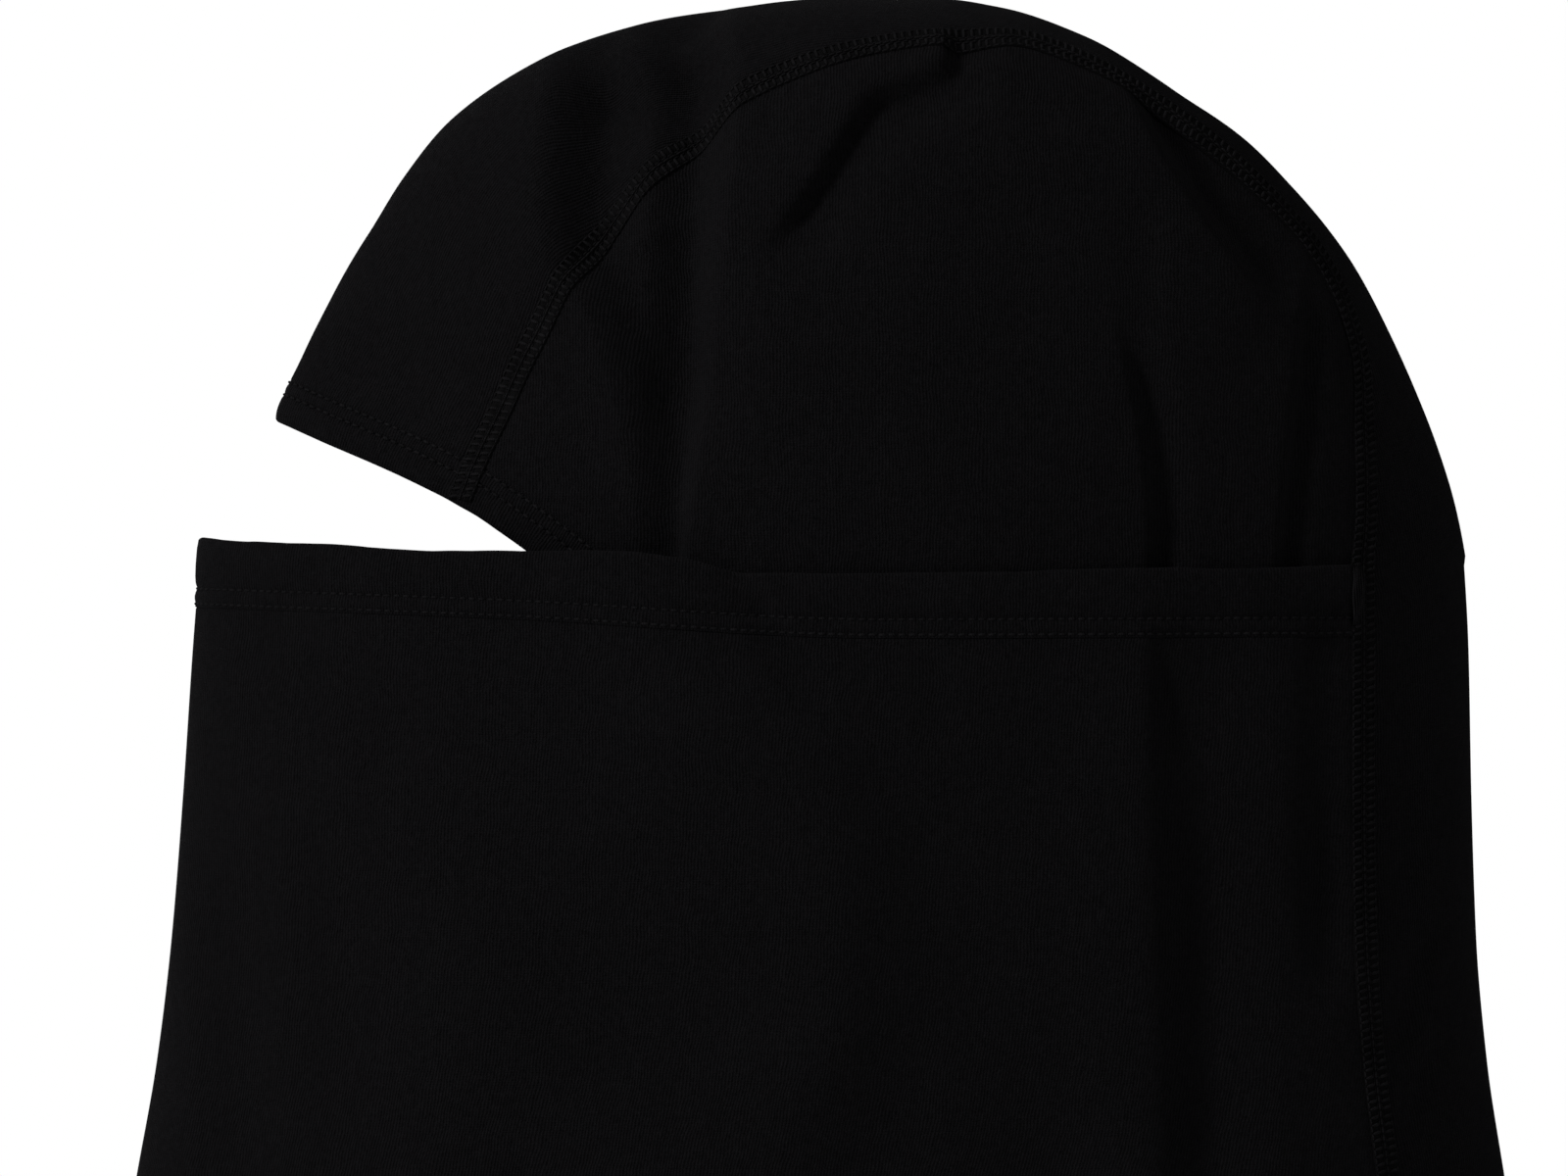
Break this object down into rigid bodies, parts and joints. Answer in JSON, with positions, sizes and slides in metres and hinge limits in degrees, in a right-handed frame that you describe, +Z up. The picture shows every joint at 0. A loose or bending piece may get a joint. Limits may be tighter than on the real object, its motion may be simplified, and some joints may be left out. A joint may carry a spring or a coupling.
{
  "type": "balaclava",
  "caption": "Hinged knit balaclava with a centre strip, a peaked brim hem and an overlapping face mask that runs into a neck tube.",
  "frame": {"origin": "inside of the crown, where the top of the head touches it", "axes": "+Z up, face towards -Y, wearer's left towards +X; the YZ plane is the plane of symmetry"},
  "size_m": [0.1206, 0.319, 0.377],
  "materials": {
    "knit": "matte brushed jersey",
    "thread": "soft thread"
  },
  "bodies": {
    "neck": {"nape_panel": "knit", "fold_panel": "knit", "neck_panel": "knit", "mask_panel": "knit", "bottom_hem": "knit", "flatlock_neck_left": "thread", "flatlock_neck_right": "thread", "hem_stitch_upper": "thread", "hem_stitch_lower": "thread", "corner_tack_left": "thread", "corner_tack_right": "thread"},
    "hood": {"crown_panel": "knit", "hood_side_left": "knit", "hood_side_right": "knit", "brim_hem": "knit", "flatlock_hood_left": "thread", "flatlock_hood_right": "thread", "brim_stitch_outer": "thread", "brim_stitch_inner": "thread"},
    "mask": {"mask_top_hem": "knit", "mask_stitch_upper": "thread", "mask_stitch_lower": "thread"}
  },
  "joints": [
    {"name": "hood_fold_back", "type": "hinge", "parent": "neck", "child": "hood", "pos_m": [0, 0.097, -0.118], "axis": [-1, 0, 0], "range_deg": [0, 90], "deforming": ["fold_panel"]},
    {"name": "mask_pull_down", "type": "hinge", "parent": "neck", "child": "mask", "pos_m": [0, 0.095, -0.116], "axis": [1, 0, 0], "range_deg": [0, 22], "deforming": ["mask_panel"]}
  ]
}
